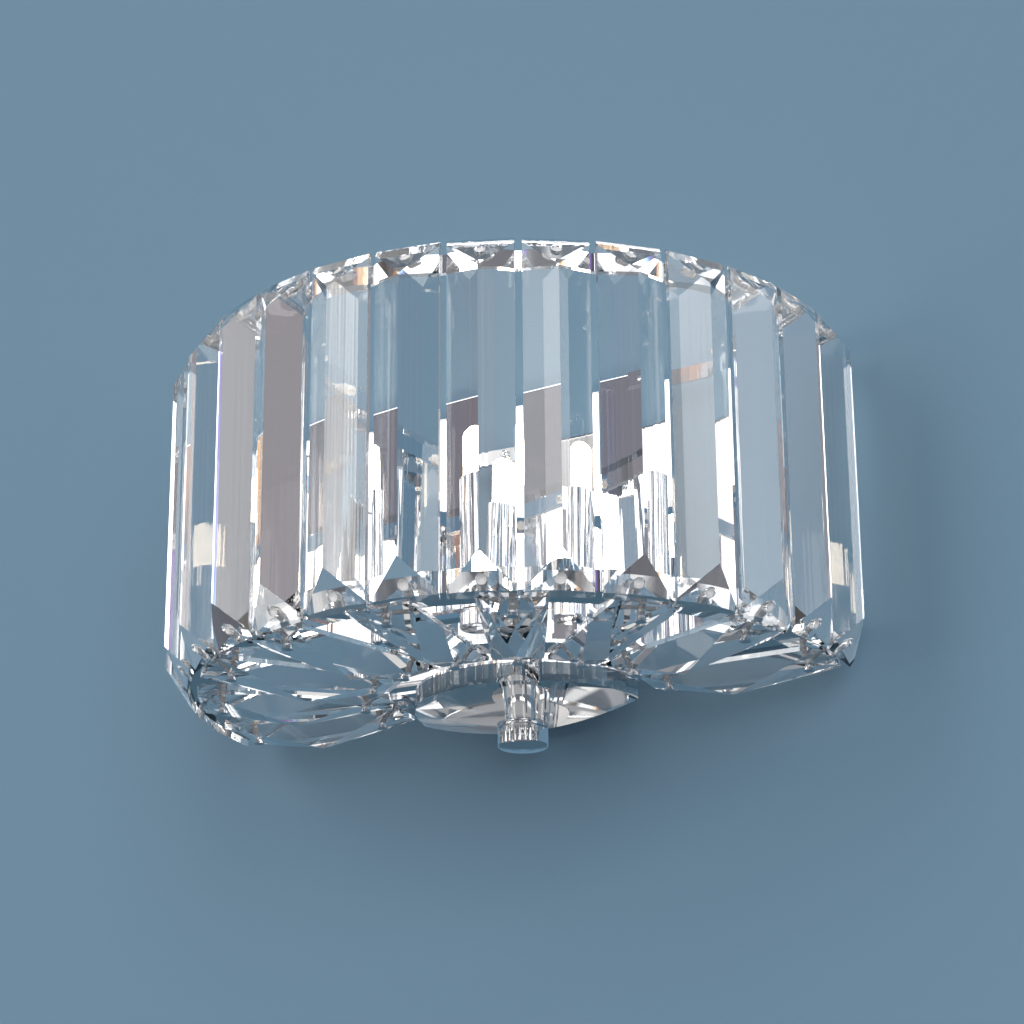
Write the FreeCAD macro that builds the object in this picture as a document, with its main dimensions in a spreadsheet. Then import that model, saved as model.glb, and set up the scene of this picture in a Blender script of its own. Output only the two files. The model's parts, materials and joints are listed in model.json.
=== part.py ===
import FreeCAD, Part
import math
import os
import Sketcher
from FreeCAD import Vector

# A half-round wall light: upright crystal prisms hang on two chrome half rings, nine flat crystal
# bars fan out underneath, and a half-moon crystal is held at the hub by a screwed finial.
# Everything is drawn about the centre of the half rings, at the height of the prisms' lower ends:
# X runs along the wall, Y into the wall and Z up. The Placements then carry this drawing frame to
# the centre of the wall mount, on the wall's face.

SIZES = [
    # how the rings stand to the wall mount, and the gaps between pieces
    ("standoff", 30.0, "wall to the centre of the rings"),
    ("seat_gap", 0.2, "gap between pieces that sit on each other"),
    ("pin_gap", 0.2, "play all round a pin or screw in its hole"),
    # upright prisms
    ("prism_count", 16, "prisms from end to end of the half ring"),
    ("prism_radius", 143.5, "ring centre to a prism's flat back"),
    ("prism_length", 152.0, "height of a prism"),
    ("prism_width", 27.4, "width of a prism"),
    ("prism_depth", 11.5, "flat back to ridge"),
    ("prism_side", 2.0, "depth of the flats along both edges"),
    ("prism_bevel", 16.1, "height of the bevel at both ends"),
    ("pin_height", 6.2, "end of a prism to its pin hole, measured on the bevel"),
    ("lower_pin_tilt", 18.0, "slope of the lower pin holes towards the middle of the prism"),
    ("upper_pin_tilt", 26.0, "slope of the upper pin holes towards the middle of the prism"),
    ("pin_size", 4.2, "diameter of a tube pin"),
    ("pin_bore", 2.2, "bore of a tube pin"),
    ("pin_inset", 0.9, "bevel to the end of a tube pin"),
    ("pin_tail", 2.0, "tube pin standing out behind the ring"),
    # half rings
    ("ring_thickness", 2.5, "radial thickness of a ring's band"),
    ("ring_overrun", 5.6, "angle that a ring runs on past its end prisms"),
    ("upper_band_drop", 5.3, "prisms' tops to the top edge of the upper band"),
    ("upper_band_height", 8.0, "height of the upper band"),
    ("lower_band_height", 8.8, "height of the lower band, with its flange"),
    ("flange_width", 16.0, "width of the lower ring's flange"),
    ("flange_thickness", 1.3, "thickness of the lower ring's flange"),
    # fan of bars underneath
    ("fan_count", 9, "bars in the fan"),
    ("fan_top", 3.0, "prisms' lower ends to the bars' flat tops"),
    ("fan_end_gap", 4.0, "prisms' backs to the bars' outer ends"),
    ("fan_hub_gap", 7.1, "half-moon crystal to the bars' inner ends"),
    ("fan_outer_width", 29.0, "width of a bar's outer end"),
    ("fan_inner_width", 21.4, "width of a bar's inner end"),
    ("fan_edge", 2.0, "thickness of a bar's edges"),
    ("fan_low_inset", 42.5, "a bar's outer end to its low point"),
    ("fan_depth", 12.6, "flat top to the low point of a bar"),
    ("fan_outer_pin_inset", 9.5, "a bar's outer end to its outer pin"),
    ("fan_inner_pin_inset", 10.6, "a bar's inner end to its inner pin"),
    ("fan_pin_size", 2.6, "diameter of a fan pin"),
    ("cup_size", 4.8, "diameter of a fan pin's cup head"),
    ("cup_height", 1.5, "height of a fan pin's cup head"),
    ("cup_hollow", 0.7, "depth of the hollow in a cup head"),
    ("fan_pin_tail", 0.8, "fan pin standing out above its ring"),
    # inner ring, with a lug at each end
    ("inner_ring_width", 15.0, "radial width of the inner ring"),
    ("inner_ring_thickness", 1.5, "thickness of the inner ring"),
    ("lug_gap", 0.3, "half-moon crystal to a lug's end, along the wall"),
    ("lug_length", 16.0, "depth of a lug, forwards from the ring's ends"),
    ("lug_screw_inset", 3.4, "a lug's end to its screw, along the wall"),
    ("lug_screw_y", 8.0, "ring's ends to a lug's screw, forwards"),
    # half-moon crystal, the plate over it, the stem and the finial
    ("hub_radius", 50.3, "radius of the half-moon crystal"),
    ("hub_chord", 8.5, "stem to the flat side of the half-moon crystal"),
    ("hub_rim", 8.0, "height of the crystal's rim"),
    ("hub_dome", 8.2, "fall of the crystal's domed underside"),
    ("hub_bore", 13.9, "bore of the crystal"),
    ("hub_seat_depth", 1.2, "depth of the flat seat cut into the dome"),
    ("hub_plate_thickness", 1.2, "thickness of the plate over the crystal"),
    ("hub_ear_lap", 9.4, "a lug's end to the end of the ear over it"),
    ("stem_size", 8.0, "diameter of the threaded stem"),
    ("stem_bore", 4.5, "bore of the threaded stem"),
    ("stem_end_gap", 1.0, "stem's lower end to the knob's floor"),
    ("stem_tail", 1.5, "stem standing out above its nut"),
    ("collar_size", 13.4, "diameter of the stem's collar"),
    ("collar_height", 6.0, "height of the stem's collar"),
    ("sleeve_size", 9.6, "diameter of the sleeve under the collar"),
    ("sleeve_height", 5.0, "height of the sleeve under the collar"),
    ("nut_across", 13.0, "stem nut across its flats"),
    ("nut_height", 5.0, "height of the stem nut"),
    ("washer_size", 19.6, "diameter of the finial's washer"),
    ("washer_thickness", 0.6, "thickness of the finial's washer"),
    ("knob_size", 21.8, "diameter of the finial knob"),
    ("knob_height", 9.6, "height of the finial knob"),
    ("knob_crown", 0.9, "rise of the knob's rounded lower face"),
    ("knob_groove", 0.5, "depth of the line turned into the knob"),
    ("knob_lip", 2.0, "knob's top to its turned line"),
    ("knob_neck", 11.0, "diameter of the knob's neck in the crystal's bore"),
    ("neck_height", 3.2, "height of the knob's neck"),
    ("knob_floor", 2.4, "knob's lower edge to the end of its threaded bore"),
    ("thread_play", 0.08, "play all round between the two threads"),
    # angle strap that carries the stem
    ("strap_thickness", 1.5, "thickness of the folded straps"),
    ("bracket_width", 60.0, "width of the hub bracket"),
    ("bracket_reach", 10.0, "hub bracket standing out past the stem"),
    ("bracket_rise", 28.0, "height of the hub bracket's upright leg"),
    ("bracket_screw_x", 20.0, "middle to a screw of the hub bracket"),
    ("bracket_screw_rise", 22.0, "hub bracket's foot to its screws"),
    # backplate and what is behind it
    ("plate_inset", 23.5, "prisms' backs to the backplate's sides, along the wall"),
    ("plate_rise", 19.0, "prisms' lower ends to the backplate's lower edge"),
    ("plate_drop", 5.0, "prisms' tops to the backplate's upper edge"),
    ("plate_depth", 12.5, "depth of the backplate"),
    ("plate_wall", 1.2, "thickness of the backplate's sheet"),
    ("plate_round", 2.6, "radius of the backplate's rolled edge"),
    ("wall_strap_height", 24.0, "height of the wall strap"),
    ("wall_strap_ear", 9.0, "depth of the wall strap's turned-up ends"),
    ("slot_spacing", 70.0, "spacing of the wall strap's two slots"),
    ("slot_length", 8.0, "slot between the centres of its round ends"),
    ("slot_size", 4.6, "width of a slot"),
    ("cable_hole", 14.0, "hole for the supply cable"),
    ("side_screw_inset", 5.5, "wall to the screws in the backplate's sides"),
    ("block_length", 30.0, "length of the terminal block"),
    ("block_height", 15.0, "height of the terminal block"),
    ("block_depth", 8.4, "depth of the terminal block"),
    ("block_x", 64.0, "middle to the terminal block"),
    ("block_well", 4.2, "diameter of the wells over the block's screws"),
    ("block_well_depth", 3.0, "depth of the wells over the block's screws"),
    ("block_poles", 3, "poles of the terminal block"),
    ("earth_x", 60.0, "middle to the earth screw"),
    # arms between the backplate and the rings
    ("arm_inset", 12.0, "backplate's side to the arms' screws"),
    ("arm_height", 7.0, "height of an arm's strap"),
    ("arm_foot_start", 4.5, "ring centre line to the near end of an arm's foot"),
    ("arm_drop", 12.0, "backplate's lower edge to the lower arms' screws"),
    # small round-headed screws
    ("screw_size", 3.0, "diameter of the small screws"),
    ("screw_head", 5.2, "diameter of a small screw's head"),
    ("screw_head_height", 1.9, "height of a small screw's head"),
    ("screw_reach", 4.6, "length of a small screw under its head"),
    # lamps
    ("lamp_x", 42.0, "middle lamp to an outer lamp"),
    ("lamp_forward", 46.0, "ring centre line to the lamps, forwards"),
    ("lamp_arm_low", 24.0, "prisms' lower ends to the underside of a lamp arm"),
    ("lamp_arm_width", 12.0, "width of a lamp arm"),
    ("lamp_arm_nose", 6.5, "a lamp's axis to the front edge of its strap"),
    ("lamp_bar_overhang", 7.5, "outer lamp's axis to the end of the lamp bar"),
    ("lamp_arm_rise", 15.0, "height of a lamp arm's upright foot"),
    ("lamp_screw_rise", 9.0, "underside of a lamp arm to the screw in its foot"),
    ("nipple_size", 8.0, "diameter of the threaded tube under a lamp holder"),
    ("lamp_nut_size", 15.0, "diameter of the ring nut under a lamp"),
    ("lamp_nut_height", 6.0, "height of the ring nut under a lamp"),
    ("holder_size", 15.0, "diameter of a lamp holder's tube"),
    ("holder_height", 55.0, "height of a lamp holder"),
    ("socket_depth", 11.0, "depth of a lamp holder's socket"),
    ("socket_play", 0.3, "play all round a bulb's foot in its socket"),
    ("bulb_size", 10.4, "diameter of a bulb's glass"),
    ("bulb_glass", 22.0, "height of a bulb's glass"),
    ("bulb_foot_width", 8.6, "width of a bulb's foot"),
    ("bulb_foot_depth", 5.4, "depth of a bulb's foot, front to back"),
    ("bulb_foot_height", 12.0, "height of a bulb's foot"),
    ("bulb_pin_spacing", 4.0, "spacing of a bulb's two pins"),
    ("bulb_pin_size", 0.9, "diameter of a bulb's pins"),
    ("bulb_pin_length", 6.0, "length of a bulb's pins"),
]

# Heights, radii and places that several sub-parts share, worked out from the sizes.
PLACES = [
    ("prism_step", "180 / (Size.prism_count - 1)"),
    ("fan_step", "180 / (Size.fan_count - 1)"),
    ("ridge_radius", "Size.prism_radius + Size.prism_depth"),
    ("pin_radius", "Size.prism_radius + Size.prism_depth * Size.pin_height / Size.prism_bevel"),
    ("upper_pin_height", "Size.prism_length - Size.pin_height"),
    ("pin_hole", "Size.pin_size + 2 * Size.pin_gap"),
    ("fan_outer", "Size.prism_radius - Size.fan_end_gap"),
    ("fan_inner", "Size.hub_radius + Size.fan_hub_gap"),
    ("fan_low_radius", "Place.fan_outer - Size.fan_low_inset"),
    ("fan_outer_pin", "Place.fan_outer - Size.fan_outer_pin_inset"),
    ("fan_inner_pin", "Place.fan_inner + Size.fan_inner_pin_inset"),
    ("band_outer", "Size.prism_radius - Size.seat_gap"),
    ("band_inner", "Place.band_outer - Size.ring_thickness"),
    ("upper_band_top", "Size.prism_length - Size.upper_band_drop"),
    ("upper_band_low", "Place.upper_band_top - Size.upper_band_height"),
    ("lower_band_low", "Size.fan_top + Size.seat_gap"),
    ("lower_band_top", "Place.lower_band_low + Size.lower_band_height"),
    ("flange_top", "Place.lower_band_low + Size.flange_thickness"),
    ("flange_inner", "Place.band_outer - Size.flange_width"),
    ("fan_pin_hole", "Size.fan_pin_size + 2 * Size.pin_gap"),
    ("inner_ring_outer", "Place.fan_inner_pin + Size.inner_ring_width / 2"),
    ("inner_ring_inner", "Place.fan_inner_pin - Size.inner_ring_width / 2"),
    ("inner_ring_top", "Place.lower_band_low + Size.inner_ring_thickness"),
    ("lug_end", "Size.hub_radius + Size.lug_gap"),
    ("lug_screw_x", "Place.lug_end + Size.lug_screw_inset"),
    ("hub_ear", "Place.lug_end + Size.hub_ear_lap"),
    ("hub_plate_low", "Place.inner_ring_top + Size.seat_gap"),
    ("hub_plate_top", "Place.hub_plate_low + Size.hub_plate_thickness"),
    ("hub_top", "Place.hub_plate_low - Size.seat_gap"),
    ("hub_low", "Place.hub_top - Size.hub_rim"),
    ("hub_sphere", "(Size.hub_radius ^ 2 + Size.hub_dome ^ 2) / (2 * Size.hub_dome)"),
    ("hub_lowest", "Place.hub_low - Size.hub_dome"),
    ("hub_seat", "Place.hub_lowest + Size.hub_seat_depth"),
    ("stem_hole", "Size.stem_size + 2 * Size.pin_gap"),
    ("bracket_low", "Place.hub_plate_top + Size.seat_gap"),
    ("bracket_top", "Place.bracket_low + Size.strap_thickness"),
    ("nut_low", "Place.bracket_top + Size.seat_gap"),
    ("stem_top", "Place.nut_low + Size.nut_height + Size.stem_tail"),
    ("collar_low", "Place.hub_top - Size.collar_height"),
    ("sleeve_low", "Place.collar_low - Size.sleeve_height"),
    ("washer_top", "Place.hub_seat - Size.seat_gap / 2"),
    ("washer_low", "Place.washer_top - Size.washer_thickness"),
    ("knob_top", "Place.washer_low - Size.seat_gap / 2"),
    ("neck_top", "Place.knob_top + Size.neck_height"),
    ("knob_low", "Place.knob_top - Size.knob_height"),
    ("knob_bore_end", "Place.knob_low + Size.knob_floor"),
    ("stem_low", "Place.knob_bore_end + Size.stem_end_gap"),
    ("plate_front", "Size.standoff - Size.plate_depth"),
    ("plate_side", "Size.prism_radius - Size.plate_inset"),
    ("plate_top", "Size.prism_length - Size.plate_drop"),
    ("mount_height", "(Size.plate_rise + Place.plate_top) / 2"),
    ("strap_back", "Place.plate_front - Size.seat_gap"),
    ("strap_front", "Place.strap_back - Size.strap_thickness"),
    ("wall_strap_side", "Place.plate_side - Size.plate_wall - Size.seat_gap"),
    ("wall_strap_front", "Size.standoff - Size.strap_thickness"),
    ("ear_front", "Size.standoff - Size.wall_strap_ear"),
    ("side_screw_depth", "Size.standoff - Size.side_screw_inset"),
    ("block_back", "Place.wall_strap_front - Size.seat_gap"),
    ("screw_hole", "Size.screw_size + 2 * Size.pin_gap"),
    ("arm_screw_x", "Place.plate_side - Size.arm_inset"),
    ("arm_outer", "Place.band_inner * cos(Size.ring_overrun) - Size.seat_gap"),
    ("arm_inner", "Place.arm_outer - Size.strap_thickness"),
    ("upper_arm_middle", "Place.upper_band_top - Size.upper_band_height / 2 - Size.seat_gap"),
    ("lower_arm_middle", "Size.plate_rise + Size.arm_drop"),
    ("lower_foot_low", "Place.flange_top + Size.seat_gap"),
    ("lamp_arm_top", "Size.lamp_arm_low + Size.strap_thickness"),
    ("lamp_arm_end", "Size.lamp_forward + Size.lamp_arm_nose"),
    ("lamp_bar_low", "Place.lamp_arm_top + Size.seat_gap"),
    ("lamp_bar_top", "Place.lamp_bar_low + Size.strap_thickness"),
    ("lamp_bar_end", "Size.lamp_x + Size.lamp_bar_overhang"),
    ("holder_low", "Place.lamp_bar_top + Size.seat_gap"),
    ("holder_top", "Place.holder_low + Size.holder_height"),
    ("socket_floor", "Place.holder_top - Size.socket_depth"),
    ("lamp_nut_top", "Size.lamp_arm_low - Size.seat_gap"),
    ("lamp_nut_low", "Place.lamp_nut_top - Size.lamp_nut_height"),
    ("bulb_low", "Place.socket_floor + Size.seat_gap"),
    ("bulb_shoulder", "Place.bulb_low + Size.bulb_foot_height"),
]

doc = FreeCAD.newDocument("crystal_wall_light")


def fill_sheet(name, rows, prefix):
    """Write named rows into a spreadsheet, one alias to each cell."""
    sheet = doc.addObject("Spreadsheet::Sheet", name)
    for number, row in enumerate(rows, start=1):
        sheet.set("A%d" % number, row[0])
        sheet.set("B%d" % number, prefix + str(row[1]))
        sheet.setAlias("B%d" % number, row[0])
        if len(row) > 2:
            sheet.set("C%d" % number, row[2])
    return sheet


size = fill_sheet("Size", SIZES, "")
place = fill_sheet("Place", PLACES, "=")
doc.recompute()
nodes = []


def value(text):
    """Present value of an expression in the sizes and places."""
    return float(size.evalExpression(text))


# --- drawing helpers -------------------------------------------------------------------------

def set_in_frame(piece, turn="0"):
    """Carry a piece from the drawing frame to the wall mount, turned about the rings' centre."""
    shift = "vector(0; -Size.standoff; -Place.mount_height)"
    piece.setExpression("Placement", "placement(%s; rotation(vector(0; 0; 1); %s))" % (shift, turn))


def keep(piece, label, turn="0"):
    """Name a finished sub-part and set it in place."""
    piece.Label = label
    set_in_frame(piece, turn)
    nodes.append(piece)


def new_body(label, turn="0", solids=1):
    """Body of one sub-part; a group of like solids is allowed where solids is more than one."""
    body = doc.addObject("PartDesign::Body", label)
    body.AllowCompound = solids > 1
    keep(body, label, turn)
    return body


def origin_plane(body, role):
    """One of a body's own origin planes or axes, found by its role."""
    return [feature for feature in body.Origin.OriginFeatures if feature.Role == role][0]


def new_sketch(body, name, role, lift="0", across="0", up="0", tilt="0"):
    """Sketch on an origin plane, lifted along its normal, shifted in it and tilted about its X."""
    sketch = body.newObject("Sketcher::SketchObject", name)
    sketch.AttachmentSupport = (origin_plane(body, role), [""])
    sketch.MapMode = "FlatFace"
    place_text = "placement(vector(%s; %s; %s); rotation(vector(1; 0; 0); %s))"
    sketch.setExpression("AttachmentOffset", place_text % (across, up, lift, tilt))
    return sketch


def fix_point(sketch, geometry, point, across, up):
    """Tie a point of a sketch to its distances from the sketch's origin."""
    for kind, text in (("DistanceX", across), ("DistanceY", up)):
        rule = Sketcher.Constraint(kind, -1, 1, geometry, point, value(text))
        number = sketch.addConstraint(rule)
        sketch.setExpression("Constraints[%d]" % number, text)


def outline(sketch, corners):
    """Closed outline through corners, each given as two expressions."""
    first = sketch.GeometryCount
    points = [Vector(value(across), value(up), 0) for across, up in corners]
    for start, end in zip(points, points[1:] + points[:1]):
        sketch.addGeometry(Part.LineSegment(start, end))
    for number, (across, up) in enumerate(corners):
        following = first + (number + 1) % len(corners)
        sketch.addConstraint(Sketcher.Constraint("Coincident", first + number, 2, following, 1))
        fix_point(sketch, first + number, 1, across, up)


def rectangle(sketch, left, right, low, high):
    """Rectangle between two expressions across and two up."""
    outline(sketch, [(left, low), (right, low), (right, high), (left, high)])


def circle(sketch, across, up, diameter):
    """Circle with its centre and its diameter given as expressions."""
    centre = Vector(value(across), value(up), 0)
    number = sketch.addGeometry(Part.Circle(centre, Vector(0, 0, 1), value(diameter) / 2))
    fix_point(sketch, number, 3, across, up)
    rule = sketch.addConstraint(Sketcher.Constraint("Diameter", number, value(diameter)))
    sketch.setExpression("Constraints[%d]" % rule, diameter)


def slot(sketch, across, up, length, width):
    """Round-ended slot lying along the sketch's X."""
    middle = Vector(value(across), value(up), 0)
    half = Vector(value(length) / 2, 0, 0)
    radius = value(width) / 2
    rise = Vector(0, radius, 0)
    upright = Vector(0, 0, 1)
    right_circle = Part.Circle(middle + half, upright, radius)
    left_circle = Part.Circle(middle - half, upright, radius)
    right_end = Part.ArcOfCircle(right_circle, -math.pi / 2, math.pi / 2)
    left_end = Part.ArcOfCircle(left_circle, math.pi / 2, 3 * math.pi / 2)
    top = Part.LineSegment(middle + half + rise, middle - half + rise)
    bottom = Part.LineSegment(middle - half - rise, middle + half - rise)
    right, upper, left, lower = [sketch.addGeometry(g) for g in (right_end, top, left_end, bottom)]
    for one, two in ((right, upper), (upper, left), (left, lower), (lower, right)):
        sketch.addConstraint(Sketcher.Constraint("Tangent", one, 2, two, 1))
    fix_point(sketch, right, 3, "%s + %s / 2" % (across, length), up)
    fix_point(sketch, left, 3, "%s - %s / 2" % (across, length), up)
    rule = sketch.addConstraint(Sketcher.Constraint("Radius", right, radius))
    sketch.setExpression("Constraints[%d]" % rule, "%s / 2" % width)


def pad(body, sketch, length, both_ways=False, backwards=False):
    """Pad a sketch along its normal."""
    feature = body.newObject("PartDesign::Pad", sketch.Name + "_pad")
    feature.Profile = sketch
    feature.setExpression("Length", length)
    feature.SideType = "Symmetric" if both_ways else "One side"
    feature.Reversed = backwards
    body.Tip = feature
    return feature


def pocket(body, sketch, length=None, backwards=False):
    """Cut a sketch through both ways, or one way to a depth."""
    feature = body.newObject("PartDesign::Pocket", sketch.Name + "_cut")
    feature.Profile = sketch
    if length is None:
        feature.SideType = "Symmetric"
        feature.Type = "ThroughAll"
    else:
        feature.SideType = "One side"
        feature.Reversed = backwards
        feature.setExpression("Length", length)
    body.Tip = feature
    return feature


def drill(body, sketch, reach):
    """Cut a sketch both ways to a limited reach, so that the far side of a ring stays whole."""
    feature = body.newObject("PartDesign::Pocket", sketch.Name + "_drill")
    feature.Profile = sketch
    feature.SideType = "Symmetric"
    feature.setExpression("Length", reach)
    body.Tip = feature
    return feature


def revolve(body, sketch, angle="360", both_ways=False):
    """Turn a sketch about its own upright axis."""
    feature = body.newObject("PartDesign::Revolution", sketch.Name + "_turn")
    feature.Profile = sketch
    feature.ReferenceAxis = (sketch, ["V_Axis"])
    feature.setExpression("Angle", angle)
    feature.Midplane = both_ways
    body.Tip = feature
    return feature


def half_turn_pattern(body, feature, count):
    """Repeat a feature over the half circle in front, from the right end to the left."""
    pattern = body.newObject("PartDesign::PolarPattern", feature.Name + "_row")
    pattern.Originals = [feature]
    pattern.Axis = (origin_plane(body, "Z_Axis"), [""])
    pattern.Angle = 180
    pattern.Reversed = True
    pattern.setExpression("Occurrences", count)
    body.Tip = pattern
    return pattern


def fillet(body, radius, chosen):
    """Round the edges of a body's last feature for which chosen(edge) holds."""
    doc.recompute()
    base = body.Tip
    edges = base.Shape.Edges
    names = ["Edge%d" % (number + 1) for number, edge in enumerate(edges) if chosen(edge)]
    feature = body.newObject("PartDesign::Fillet", base.Name + "_round")
    feature.Base = (base, names)
    feature.setExpression("Radius", radius)
    body.Tip = feature
    return feature


# --- upright prisms and the rings that carry them --------------------------------------------

def drill_pin_hole(body, upper):
    """Drill square to a pin's sloping axis, from where it leaves the end bevel of a prism."""
    height = "Place.upper_pin_height" if upper else "Size.pin_height"
    tilt = "-Size.upper_pin_tilt" if upper else "Size.lower_pin_tilt"
    sketch = new_sketch(body, "pin_hole", "YZ_Plane", lift="Place.pin_radius", up=height,
                        tilt=tilt)
    circle(sketch, "0", "0", "Place.pin_hole")
    return drill(body, sketch, "4 * Size.prism_depth")


def build_prism(number):
    """Five-sided prism with a ridge in front, bevelled to its flat back at both ends."""
    body = new_body("prism_%02d" % (number + 1), "-%d * Place.prism_step" % number)
    section = new_sketch(body, "section", "XY_Plane")
    side = "Size.prism_radius + Size.prism_side"
    half = "Size.prism_width / 2"
    outline(section, [
        ("Size.prism_radius", "-" + half),
        (side, "-" + half),
        ("Place.ridge_radius", "0"),
        (side, half),
        ("Size.prism_radius", half),
    ])
    pad(body, section, "Size.prism_length")
    clear = "Place.ridge_radius + Size.prism_depth"
    lower_bevel = new_sketch(body, "lower_bevel", "XZ_Plane")
    outline(lower_bevel, [
        ("Size.prism_radius", "0"),
        (clear, "2 * Size.prism_bevel"),
        (clear, "0"),
    ])
    pocket(body, lower_bevel)
    upper_bevel = new_sketch(body, "upper_bevel", "XZ_Plane")
    outline(upper_bevel, [
        ("Size.prism_radius", "Size.prism_length"),
        (clear, "Size.prism_length"),
        (clear, "Size.prism_length - 2 * Size.prism_bevel"),
    ])
    pocket(body, upper_bevel)
    for upper in (False, True):
        drill_pin_hole(body, upper)


def build_upper_ring():
    """Plain upright band behind the prisms' tops."""
    body = new_body("upper_ring")
    section = new_sketch(body, "section", "YZ_Plane")
    rectangle(section, "-Place.band_outer", "-Place.band_inner", "Place.upper_band_low",
              "Place.upper_band_top")
    revolve(body, section, "180 + 2 * Size.ring_overrun", both_ways=True)
    half_turn_pattern(body, drill_pin_hole(body, True), "Size.prism_count")


def build_lower_ring():
    """Angle-section band behind the prisms' lower ends, with a flange over the fan of bars."""
    body = new_body("lower_ring")
    section = new_sketch(body, "section", "YZ_Plane")
    outline(section, [
        ("-Place.band_outer", "Place.lower_band_low"),
        ("-Place.flange_inner", "Place.lower_band_low"),
        ("-Place.flange_inner", "Place.flange_top"),
        ("-Place.band_inner", "Place.flange_top"),
        ("-Place.band_inner", "Place.lower_band_top"),
        ("-Place.band_outer", "Place.lower_band_top"),
    ])
    revolve(body, section, "180 + 2 * Size.ring_overrun", both_ways=True)
    half_turn_pattern(body, drill_pin_hole(body, False), "Size.prism_count")
    fan_hole = new_sketch(body, "fan_hole", "XY_Plane", lift="Place.lower_band_low")
    circle(fan_hole, "Place.fan_outer_pin", "0", "Place.fan_pin_hole")
    half_turn_pattern(body, drill(body, fan_hole, "4 * Size.flange_thickness"), "Size.fan_count")
    return body


def group(label, shapes):
    """One sub-part made of several like solids."""
    piece = doc.addObject("Part::Feature", label)
    piece.Shape = Part.makeCompound(shapes)
    keep(piece, label)
    return piece


def build_prism_pins(label, upper):
    """Tube pins through the prisms and the ring, sloping as their holes do."""
    slope = math.radians(value("Size.upper_pin_tilt" if upper else "Size.lower_pin_tilt"))
    start_radius = value("Place.pin_radius")
    length = (start_radius - value("Place.band_inner") + value("Size.pin_tail")) / math.cos(slope)
    rise = -math.sin(slope) if upper else math.sin(slope)
    inwards = Vector(-math.cos(slope), 0, rise)
    height = value("Place.upper_pin_height" if upper else "Size.pin_height")
    inset = value("Size.pin_inset")
    start = Vector(start_radius, 0, height) + inwards * inset
    outside = Part.makeCylinder(value("Size.pin_size") / 2, length - inset, start, inwards)
    inside = Part.makeCylinder(value("Size.pin_bore") / 2, length - inset, start, inwards)
    pin = outside.cut(inside)
    step = value("Place.prism_step")
    pins = []
    for number in range(int(value("Size.prism_count"))):
        pins.append(pin.rotated(Vector(0, 0, 0), Vector(0, 0, 1), -number * step))
    return group(label, pins)


# --- fan of crystal bars ---------------------------------------------------------------------

def fan_underside(radius):
    """Height of a bar's underside over its centre line, at a radius between its ends."""
    low_radius = value("Place.fan_low_radius")
    edge_height = value("Size.fan_top - Size.fan_edge")
    low_height = value("Size.fan_top - Size.fan_depth")
    end = value("Place.fan_outer") if radius > low_radius else value("Place.fan_inner")
    share = (radius - low_radius) / (end - low_radius)
    return low_height + (edge_height - low_height) * share


def build_fan_bar(number):
    """Tapering bar with a flat top, cut below into four facets that meet in one low point."""
    body = new_body("fan_bar_%d" % (number + 1), "-%d * Place.fan_step" % number)
    inner_half = "Size.fan_inner_width / 2"
    outer_half = "Size.fan_outer_width / 2"
    corners = [
        ("Place.fan_inner", "-" + inner_half),
        ("Place.fan_outer", "-" + outer_half),
        ("Place.fan_outer", outer_half),
        ("Place.fan_inner", inner_half),
    ]
    top = new_sketch(body, "top", "XY_Plane", lift="Size.fan_top")
    outline(top, corners)
    pad(body, top, "Size.fan_edge", backwards=True)
    edge = new_sketch(body, "edge", "XY_Plane", lift="Size.fan_top - Size.fan_edge")
    outline(edge, corners)
    low = new_sketch(body, "low_point", "XY_Plane", lift="Size.fan_top - Size.fan_depth")
    tip = low.addGeometry(Part.Point(Vector(value("Place.fan_low_radius"), 0, 0)))
    fix_point(low, tip, 1, "Place.fan_low_radius", "0")
    facets = body.newObject("PartDesign::AdditiveLoft", "facets")
    facets.Profile = edge
    facets.Sections = [(low, ["Vertex1"])]
    facets.Ruled = True
    body.Tip = facets
    for radius in ("Place.fan_outer_pin", "Place.fan_inner_pin"):
        hole = new_sketch(body, "pin_hole", "XY_Plane")
        circle(hole, radius, "0", "Place.fan_pin_hole")
        pocket(body, hole)
    return body


def build_fan_pins(label, radius_name, ring_top):
    """Upright pins with a hollow cup under each bar, holding it up to its ring."""
    radius = value(radius_name)
    cup = value("Size.cup_size") / 2
    shank = value("Size.fan_pin_size") / 2
    lower_side = min(fan_underside(radius - cup), fan_underside(radius + cup))
    cup_top = lower_side - value("Size.seat_gap") / 2
    cup_low = cup_top - value("Size.cup_height")
    pin_top = value(ring_top) + value("Size.fan_pin_tail")
    hollow_top = cup_low + value("Size.cup_hollow")
    profile = [
        Vector(0, 0, pin_top),
        Vector(shank, 0, pin_top),
        Vector(shank, 0, cup_top),
        Vector((shank + cup) / 2, 0, cup_top),
        Vector(cup, 0, cup_low),
        Vector((shank + cup) / 2, 0, cup_low),
        Vector(shank / 2, 0, hollow_top),
        Vector(0, 0, hollow_top),
    ]
    face = Part.Face(Part.makePolygon(profile + profile[:1]))
    pin = face.revolve(Vector(0, 0, 0), Vector(0, 0, 1), 360)
    pin.translate(Vector(radius, 0, 0))
    step = value("Place.fan_step")
    pins = []
    for number in range(int(value("Size.fan_count"))):
        pins.append(pin.rotated(Vector(0, 0, 0), Vector(0, 0, 1), -number * step))
    return group(label, pins)


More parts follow.
